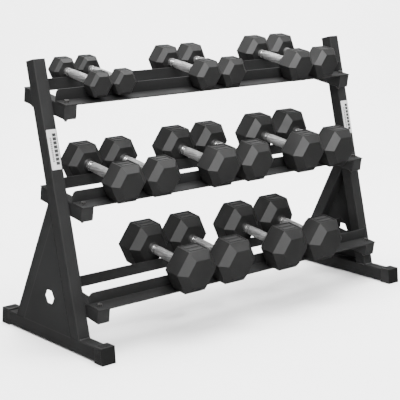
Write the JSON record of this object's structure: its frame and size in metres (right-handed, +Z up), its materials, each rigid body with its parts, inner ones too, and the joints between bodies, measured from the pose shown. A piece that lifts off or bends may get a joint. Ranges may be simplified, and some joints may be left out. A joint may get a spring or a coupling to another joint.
{
  "type": "dumbbell rack",
  "caption": "Tiered dumbbell rack: leaning square-tube uprights on feet, tilted angle-rail shelves on arms, braced sides, loaded with hexagonal dumbbells that lift off.",
  "frame": {"origin": "centre of the footprint, on the floor under the foot caps", "axes": "+X along the shelves to the right seen from the front, +Y to the rear, +Z up; the shelves open to the front, -Y"},
  "size_m": [1.237, 0.5106, 0.8169],
  "materials": {
    "frame_paint": "matt charcoal powder coat",
    "cap_plastic": "moulded black plastic",
    "black_fastener": "black oxide",
    "name_plate": "brushed",
    "head_rubber": "moulded black rubber over iron",
    "handle_chrome": "chrome, knurled grip"
  },
  "bodies": {
    "rack": {"left_upright": "frame_paint", "left_foot_tube": "frame_paint", "left_rear_brace": "frame_paint", "left_side_plate": "frame_paint", "left_arm_top": "frame_paint", "left_arm_middle": "frame_paint", "left_arm_bottom": "frame_paint", "right_upright": "frame_paint", "right_foot_tube": "frame_paint", "right_rear_brace": "frame_paint", "right_side_plate": "frame_paint", "right_arm_top": "frame_paint", "right_arm_middle": "frame_paint", "right_arm_bottom": "frame_paint", "top_front_rail": "frame_paint", "top_rear_rail": "frame_paint", "middle_front_rail": "frame_paint", "middle_rear_rail": "frame_paint", "bottom_front_rail": "frame_paint", "bottom_rear_rail": "frame_paint", "foot_caps": "cap_plastic", "upright_caps": "cap_plastic", "arm_end_caps": "cap_plastic", "shelf_bolts": "black_fastener", "shelf_washers": "black_fastener", "shelf_nuts": "black_fastener", "name_plates": "name_plate"},
    "top_dumbbell_1": {"top_dumbbell_1_heads": "head_rubber", "top_dumbbell_1_handle": "handle_chrome"},
    "top_dumbbell_2": {"top_dumbbell_2_heads": "head_rubber", "top_dumbbell_2_handle": "handle_chrome"},
    "top_dumbbell_3": {"top_dumbbell_3_heads": "head_rubber", "top_dumbbell_3_handle": "handle_chrome"},
    "top_dumbbell_4": {"top_dumbbell_4_heads": "head_rubber", "top_dumbbell_4_handle": "handle_chrome"},
    "top_dumbbell_5": {"top_dumbbell_5_heads": "head_rubber", "top_dumbbell_5_handle": "handle_chrome"},
    "top_dumbbell_6": {"top_dumbbell_6_heads": "head_rubber", "top_dumbbell_6_handle": "handle_chrome"},
    "middle_dumbbell_1": {"middle_dumbbell_1_heads": "head_rubber", "middle_dumbbell_1_handle": "handle_chrome"},
    "middle_dumbbell_2": {"middle_dumbbell_2_heads": "head_rubber", "middle_dumbbell_2_handle": "handle_chrome"},
    "middle_dumbbell_3": {"middle_dumbbell_3_heads": "head_rubber", "middle_dumbbell_3_handle": "handle_chrome"},
    "middle_dumbbell_4": {"middle_dumbbell_4_heads": "head_rubber", "middle_dumbbell_4_handle": "handle_chrome"},
    "middle_dumbbell_5": {"middle_dumbbell_5_heads": "head_rubber", "middle_dumbbell_5_handle": "handle_chrome"},
    "middle_dumbbell_6": {"middle_dumbbell_6_heads": "head_rubber", "middle_dumbbell_6_handle": "handle_chrome"},
    "bottom_dumbbell_1": {"bottom_dumbbell_1_heads": "head_rubber", "bottom_dumbbell_1_handle": "handle_chrome"},
    "bottom_dumbbell_2": {"bottom_dumbbell_2_heads": "head_rubber", "bottom_dumbbell_2_handle": "handle_chrome"},
    "bottom_dumbbell_3": {"bottom_dumbbell_3_heads": "head_rubber", "bottom_dumbbell_3_handle": "handle_chrome"},
    "bottom_dumbbell_4": {"bottom_dumbbell_4_heads": "head_rubber", "bottom_dumbbell_4_handle": "handle_chrome"}
  },
  "joints": [
    {"name": "top_dumbbell_1_lift", "type": "slide", "parent": "rack", "child": "top_dumbbell_1", "axis": [0, -0.1478, 0.989], "range_m": [0, 0.2]},
    {"name": "top_dumbbell_2_lift", "type": "slide", "parent": "rack", "child": "top_dumbbell_2", "axis": [0, -0.1478, 0.989], "range_m": [0, 0.2]},
    {"name": "top_dumbbell_3_lift", "type": "slide", "parent": "rack", "child": "top_dumbbell_3", "axis": [0, -0.1478, 0.989], "range_m": [0, 0.2]},
    {"name": "top_dumbbell_4_lift", "type": "slide", "parent": "rack", "child": "top_dumbbell_4", "axis": [0, -0.1478, 0.989], "range_m": [0, 0.2]},
    {"name": "top_dumbbell_5_lift", "type": "slide", "parent": "rack", "child": "top_dumbbell_5", "axis": [0, -0.1478, 0.989], "range_m": [0, 0.2]},
    {"name": "top_dumbbell_6_lift", "type": "slide", "parent": "rack", "child": "top_dumbbell_6", "axis": [0, -0.1478, 0.989], "range_m": [0, 0.2]},
    {"name": "middle_dumbbell_1_lift", "type": "slide", "parent": "rack", "child": "middle_dumbbell_1", "axis": [0, -0.1478, 0.989], "range_m": [0, 0.1]},
    {"name": "middle_dumbbell_2_lift", "type": "slide", "parent": "rack", "child": "middle_dumbbell_2", "axis": [0, -0.1478, 0.989], "range_m": [0, 0.1]},
    {"name": "middle_dumbbell_3_lift", "type": "slide", "parent": "rack", "child": "middle_dumbbell_3", "axis": [0, -0.1478, 0.989], "range_m": [0, 0.1]},
    {"name": "middle_dumbbell_4_lift", "type": "slide", "parent": "rack", "child": "middle_dumbbell_4", "axis": [0, -0.1478, 0.989], "range_m": [0, 0.1]},
    {"name": "middle_dumbbell_5_lift", "type": "slide", "parent": "rack", "child": "middle_dumbbell_5", "axis": [0, -0.1478, 0.989], "range_m": [0, 0.1]},
    {"name": "middle_dumbbell_6_lift", "type": "slide", "parent": "rack", "child": "middle_dumbbell_6", "axis": [0, -0.1478, 0.989], "range_m": [0, 0.1]},
    {"name": "bottom_dumbbell_1_lift", "type": "slide", "parent": "rack", "child": "bottom_dumbbell_1", "axis": [0, -0.1478, 0.989], "range_m": [0, 0.09]},
    {"name": "bottom_dumbbell_2_lift", "type": "slide", "parent": "rack", "child": "bottom_dumbbell_2", "axis": [0, -0.1478, 0.989], "range_m": [0, 0.09]},
    {"name": "bottom_dumbbell_3_lift", "type": "slide", "parent": "rack", "child": "bottom_dumbbell_3", "axis": [0, -0.1478, 0.989], "range_m": [0, 0.09]},
    {"name": "bottom_dumbbell_4_lift", "type": "slide", "parent": "rack", "child": "bottom_dumbbell_4", "axis": [0, -0.1478, 0.989], "range_m": [0, 0.09]}
  ]
}
